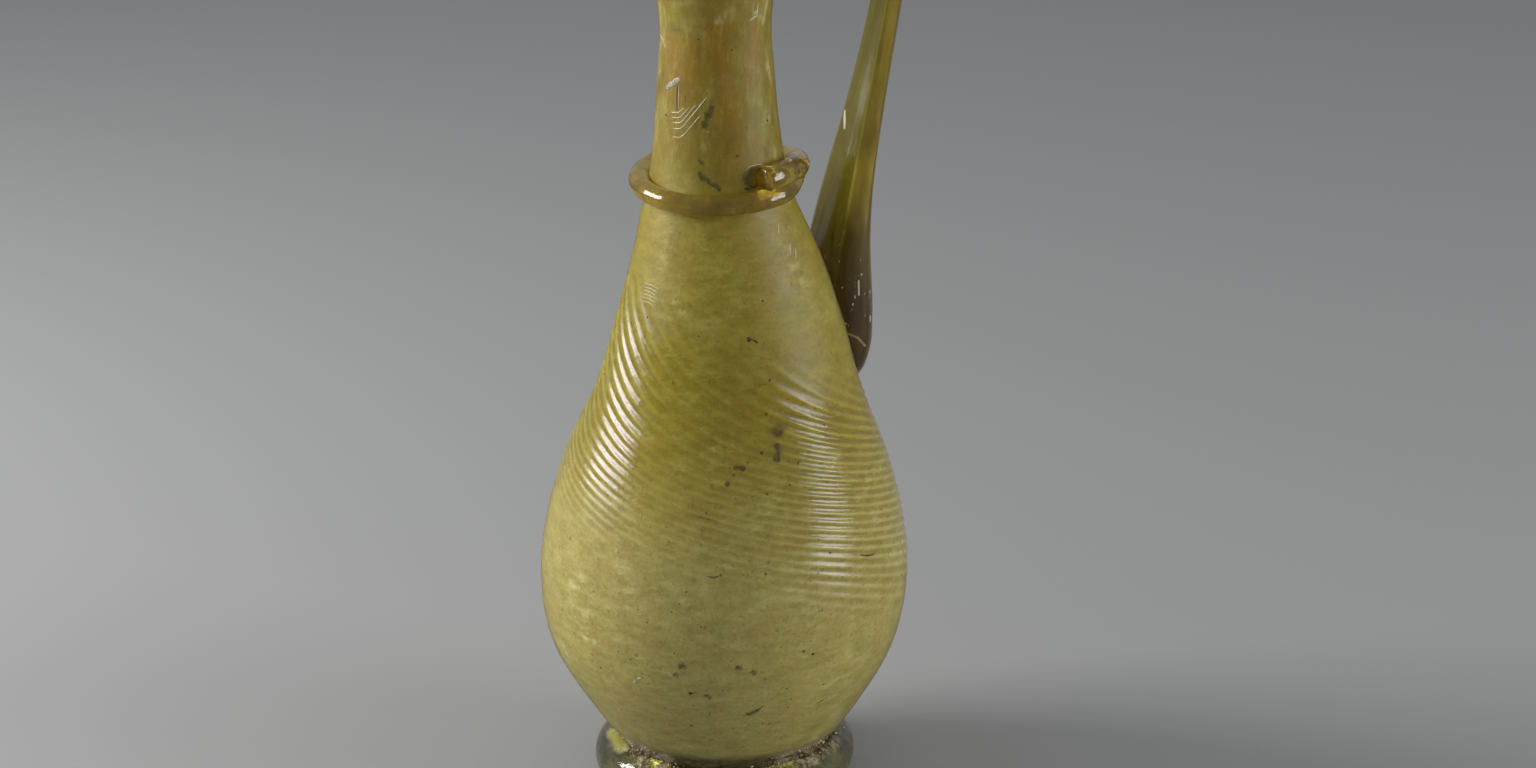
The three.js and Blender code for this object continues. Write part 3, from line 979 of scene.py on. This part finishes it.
def angles(sides):
    """Angles in degrees, evenly round a section."""
    return 360 * (np.arange(sides) + 0.5) / sides


def oval(centre, across, side, half_across, half_side, degrees, grooves, squareness=2.0):
    """Points of a grooved oval section about a point, across two directions, at some angles."""
    angle = np.radians(degrees)
    a = np.sign(np.cos(angle)) * np.abs(np.cos(angle)) ** (2 / squareness)
    b = np.sign(np.sin(angle)) * np.abs(np.sin(angle)) ** (2 / squareness)
    a = a * (1 + grooves(b))
    return centre + half_across * a[:, None] * across + half_side * b[:, None] * side


def foot_form(turn):
    """The coil's radius from the axis and its tube's radius, at a turn."""
    angle = np.radians(turn + FRAME_TURN)
    radius = FOOT_RADIUS + FOOT_WOBBLE * np.sin(2 * angle + 0.6)
    lumps = 0.4 * np.sin(3 * angle) + 0.35 * np.sin(7 * angle + 1) * np.sin(angle)
    return radius, FOOT_TUBE + FOOT_WOBBLE * lumps


def crusted_at(turn):
    """How far crust covers the joint over the foot at a turn."""
    turn = (np.asarray(turn, float) + 180) % 360 - 180
    found = np.full(turn.shape, CRUST_ELSEWHERE)
    for first, last in CRUST_PLACES:
        begun = smooth(turn, first - CRUST_FADES, first + CRUST_FADES)
        ended = smooth(turn, last - CRUST_FADES, last + CRUST_FADES)
        found = np.maximum(found, begun * (1 - ended))
    return found


def on_foot(turn, lift):
    """The foot's surface at a turn, lift degrees up round its tube from its outer side."""
    radius, tube = foot_form(turn)
    rise = np.radians(lift)
    high = np.maximum(FOOT_CENTRE + tube * np.sin(rise), 0)
    return around(turn, radius + tube * np.cos(rise), high)


def make_foot():
    """The coil the jug stands on, closed on itself."""
    turns = np.arange(FOOT_RINGS) * 360 / FOOT_RINGS
    lifts = np.arange(FOOT_SIDES) * 360 / FOOT_SIDES
    rings = on_foot(turns[:, None], lifts)
    uneven = FOOT_UNEVEN * rough_field(rings, FOOT_UNEVEN_SIZE)
    rings += (uneven * (rings[..., 2] > FOOT_LEVEL_BELOW))[..., None]
    points, faces = loft(seat(rings), loop=True)
    piece = make_piece("foot_coil", points, faces, [foot_glass()])
    keep_values(piece, "crusted", 0, np.repeat(crusted_at(turns), FOOT_SIDES))
    dress(piece, "foot_ring")


def climbed(degrees):
    """How far the trail has climbed onto itself at an angle, from 0 to 1."""
    return 1 - smooth(degrees, COLLAR_CLIMB_TO, COLLAR_CLIMB_FROM)


def collar_point(degrees):
    """The middle of the trail at an angle."""
    angle = np.radians(degrees)
    radius = COLLAR_RADIUS - COLLAR_CLIMB_INWARD * climbed(degrees)
    tilt = COLLAR_TILT * np.cos(np.radians(degrees - COLLAR_TILT_TOWARDS))
    return np.array([
        AXIS_X + COLLAR_LEAN * CAMERA_SIDE.x + radius * np.cos(angle),
        COLLAR_LEAN * CAMERA_SIDE.y + radius * np.sin(angle),
        COLLAR_HEIGHT + tilt + COLLAR_CLIMB * climbed(degrees),
    ])


def collar_tube(degrees, begun):
    """The trail's own radius at an angle, where begun goes from 0 to 1 over its thin start."""
    tube = COLLAR_TUBE * (COLLAR_START_SHARE + (1 - COLLAR_START_SHARE) * begun)
    tube += (COLLAR_END_TUBE - COLLAR_TUBE) * climbed(degrees)
    tube *= 1 + COLLAR_UNEVEN * noise.noise(Vector((degrees / COLLAR_UNEVEN_OVER, 0, 0)))
    left = min(abs(degrees - COLLAR_END) / COLLAR_END_OVER, 1)
    return tube * (COLLAR_END_SHARE + (1 - COLLAR_END_SHARE) * math.sqrt(1 - (1 - left) ** 2))


def fine_ridges(share):
    """The trail's ridges at a share of the way across it, from -1 to 1."""
    return sum(size * np.cos(waves * share) for size, waves in COLLAR_RIDGES)


def make_collar():
    """The trail wound once and a bit round the neck's base."""
    rings = []
    for degrees in np.linspace(COLLAR_START, COLLAR_END, COLLAR_RINGS):
        along = collar_point(degrees - 1) - collar_point(degrees + 1)
        along /= np.linalg.norm(along)
        outwards = np.array([math.cos(math.radians(degrees)), math.sin(math.radians(degrees)), 0])
        side = np.cross(along, outwards)
        side /= np.linalg.norm(side)
        begun = smooth(COLLAR_START - degrees, *COLLAR_START_OVER)
        sunk = COLLAR_START_DEEPER * outwards - np.array([0, 0, COLLAR_START_HIGHER])
        centre = collar_point(degrees) - (1 - begun) * sunk
        tube = collar_tube(degrees, begun)
        rings.append(oval(centre, outwards, side, tube, tube, angles(COLLAR_SIDES), fine_ridges))
    points, faces = loft(seat(np.stack(rings)))
    tones = ((240, 220, 104), (190, 158, 60))
    look = trail_glass("collar_glass", *tones, (0.78, 0.66, 0.04), 120, 0.94, 0.1)
    dress(make_piece("neck_coil", points, faces, [look.material]), "neck_collar")


STRAP_STATIONS = np.array(HANDLE_STATIONS, float)
STRAP_TRAVEL = travel_along(STRAP_STATIONS[:, :2])
strap_out, strap_up, strap_thick, strap_wide = (
    smooth_through(np.stack([STRAP_TRAVEL, column], -1)) for column in STRAP_STATIONS.T
)


def strap_middle(travel):
    """The middle of the strap at a travel from the pad's tip."""
    return np.array([AXIS_X + strap_out(travel), 0, strap_up(travel)])


def on_strap(travel, degrees):
    """The strap's surface at a travel from the pad's tip and at angles round it, 0 facing out."""
    step = 0.1
    ahead = strap_middle(travel + step) - strap_middle(travel - step)
    ahead /= np.linalg.norm(ahead)
    outwards = np.array([ahead[2], 0, -ahead[0]])
    sideways = np.array([0, 1.0, 0])

    def grooves(share):
        found = 0
        for size, waves, drift, start in HANDLE_GROOVES:
            found += size * np.cos(waves * share + drift * travel + start)
        return found

    half_thick = strap_thick(travel) / 2
    half_wide = strap_wide(travel) / 2
    where = np.atleast_1d(degrees)
    middle = strap_middle(travel)
    points = oval(middle, outwards, sideways, half_thick, half_wide, where, grooves, STRAP_SQUARENESS)
    return points if np.ndim(degrees) else points[0]


def make_handle():
    """The tall strap with its long pad."""
    travels = np.linspace(0, STRAP_TRAVEL[-1], HANDLE_RINGS)
    rings = np.stack([on_strap(travel, angles(HANDLE_SIDES)) for travel in travels])
    points, faces = loft(seat(rings))
    piece = make_piece("strap_handle", points, faces, [handle_glass()])
    keep_values(piece, "outer", 0, np.tile(np.cos(np.radians(angles(HANDLE_SIDES))), HANDLE_RINGS))
    dress(piece, "handle")


def mark(half, path, proud, ragged):
    """A thin raised mark, closed all round, that follows a path of turns and heights on the wall.

    Its half width and how proud it stands are in millimetres, and ragged is a share of its width.
    """
    path = np.array(path, float)
    middle = path[:, 1].mean()
    degree = np.radians(radius_at(middle))
    steep = float(outward(run_at(middle))[0])
    if len(path) == 1:
        path = path + np.array([[-half / degree, 0], [half / degree, 0]])
    flat = path * [degree, 1 / steep]
    travel = travel_along(flat)
    share = np.linspace(0, 1, max(MARK_FEWEST, int(travel[-1] / MARK_STEP)))
    line = np.stack([np.interp(share * travel[-1], travel, axis) for axis in flat.T], -1)
    ahead = np.gradient(line, axis=0)
    ahead /= np.linalg.norm(ahead, axis=1)[:, None]
    across = np.stack([-ahead[:, 1], ahead[:, 0]], -1)

    # A short mark is round, and a long one keeps its width almost to its ends
    blunt = 2 if travel[-1] < 3 * half else 6
    wobble = [1 + ragged * noise.noise(Vector((*p, half)) * MARK_WAVES) for p in line]
    wide = half * np.sqrt(np.maximum(1 - np.abs(2 * share - 1) ** blunt, MARK_THINNEST)) * wobble
    spread = line[:, None] + across[:, None] * (wide[:, None] * MARK_ACROSS)[..., None]
    rise = proud * MARK_RISE * (wide / half)[:, None] - MARK_SUNK
    return loft(skin(spread[..., 0] / degree, spread[..., 1] * steep, rise))


def scattered(rng, groups):
    """Small round marks at random places within each group's bounds."""
    marks = []
    for count, turns, heights, (least, widest) in groups:
        for _ in range(count):
            half = least + (widest - least) * rng.random() ** 3
            marks.append((half, [(rng.uniform(*turns), rng.uniform(*heights))]))
    return marks


def make_marks(name, marks, material, proud, ragged):
    """One piece for all the marks of a kind."""
    points, faces = merged([mark(half, path, proud, ragged) for half, path in marks])
    piece = make_piece(name, points, faces, [material])
    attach(piece, "root")


def flaked_place():
    """The bright edges where the neck flaked off in steps, pale partly as painted glints: each runs
    level and then turns up.
    """
    edges = []
    for step, (low, reach) in enumerate(FLAKE_LINES):
        bend = FLAKE_BEND + FLAKE_BEND_STEP * step
        level = [(bend - FLAKE_LEVEL, low - 0.1), (bend - 2, low + 0.2), (bend + 2, low + 1)]
        far = (bend + FLAKE_LONGEST[0] * reach, low + FLAKE_LONGEST[1] * reach)
        edges.append((FLAKE_HALF, [*level, far]))
    return edges


def scratches():
    """Fine level scratches on the shoulder's left, drawn as bright lines that are partly painted glints.
    """
    marks = []
    for i, high in enumerate(SCRATCH_HEIGHTS):
        marks.append((SCRATCH_HALF, [(-56 + i % 2, high), (-49, high + 0.3), (-42 - i % 3, high - 0.1)]))
    return marks


def make_all_marks():
    """What lies on the wall: residue, rust, chips, flaked edges and scratches drawn pale as partly
    painted glints, and the torn-off glass.
    """
    rng = np.random.default_rng(5)
    dark = RESIDUE + scattered(rng, RESIDUE_SCATTER)
    rust = RUST + scattered(rng, RUST_SCATTER)
    pale = PALE_CHIPS + scattered(rng, PALE_SCATTER)
    edges = FLAKE_EDGES_AND_GLINTS + flaked_place() + scratches()
    residue = deposit("residue", (58, 44, 16), (106, 86, 38), 0.7, 0.7)
    ochre = deposit("rust", (104, 70, 34), (136, 110, 58), 0.8, 0.6)
    chips = deposit("chips", (164, 154, 112), (216, 210, 182), 0.6, 0.4, 0.2)
    # Pale glossy colour for the edges and scratches, partly their own and partly painted glints
    bright = deposit("edges", (232, 220, 168), (250, 246, 224), 1.5, 0.12, 0.2)
    scar = deposit("scar", (134, 112, 44), (156, 134, 58), 1.6, 0.2, 0.4)
    make_marks("dark_residue", dark, residue, 0.06, 0.5)
    make_marks("rust_streaks", rust, ochre, 0.02, 0.5)
    make_marks("pale_chips", pale, chips, 0.05, 0.6)
    make_marks("flake_edges_and_glints", edges, bright, 0.08, 0.2)
    make_marks("glass_scar", SCAR, scar, 0.14, 0.1)


def grain(rng, centre, size, shape):
    """One small irregular grain of crust."""
    squash = rng.uniform(0.5, 1.0, 3)
    rough = 1 + 0.22 * rng.standard_normal((len(shape[0]), 1))
    return centre + size * squash * rough * shape[0], shape[1]


def round_shape():
    """A ball's points and faces."""
    ball = bmesh.new()
    bmesh.ops.create_icosphere(ball, subdivisions=2, radius=1)
    points = np.array([v.co for v in ball.verts])
    faces = [tuple(v.index for v in face.verts) for face in ball.faces]
    ball.free()
    return points, faces


def make_crust():
    """Grains of dirt in the joint over the foot, thick at the front left and the right."""
    rng = np.random.default_rng(8)
    ball = round_shape()
    grains = []
    for first, last, count in CRUST_STRETCHES:
        for _ in range(count):
            turn = rng.uniform(first, last)
            lift = 88 - 34 * rng.random() ** 2
            high = BASE_TOP + GRAIN_CLIMB * rng.random() ** 1.5
            size = GRAIN_SIZE + GRAIN_GROWS * rng.random() ** 3
            centre = on_foot(turn, lift) if rng.random() < 0.5 else skin(turn, high)
            grains.append(grain(rng, centre, size, ball))
    points, faces = merged(grains)
    look = deposit("crust", (128, 108, 78), (216, 198, 166), 1.2, 0.85)
    piece = make_piece("foot_crust", points, faces, [look])
    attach(piece, "root")


def make_floor():
    """A plain pale floor."""
    bpy.ops.mesh.primitive_plane_add(size=FLOOR_SIZE * MM)
    floor = bpy.context.object
    floor.name = "floor"
    look = Look("floor")
    look.set(Base_Color=srgb(160, 161, 160), Roughness=0.9)
    floor.data.materials.append(look.material)


def make_world():
    """A dim room that is darker in front of the jug than behind it."""
    world = bpy.data.worlds.new("studio")
    bpy.context.scene.world = world
    room = Nodes(world)
    ways = room.node("ShaderNodeTexCoord").outputs["Generated"]
    back = room.vector("DOT_PRODUCT", ways, tuple(CAMERA_AHEAD), "Value")
    strength = room.band(back, *ROOM_CHANGES, ROOM_FRONT, ROOM_BACK)
    background = room.nodes["Background"]
    room.feed(background.inputs["Color"], srgb(225, 228, 235))
    room.feed(background.inputs["Strength"], strength)


make_camera()
make_world()
make_floor()
for light, placed in LIGHTS.items():
    make_light(light, *placed)
make_body()
make_foot()
make_collar()
make_handle()
make_all_marks()
make_crust()

bpy.context.scene.view_settings.view_transform = "Standard"
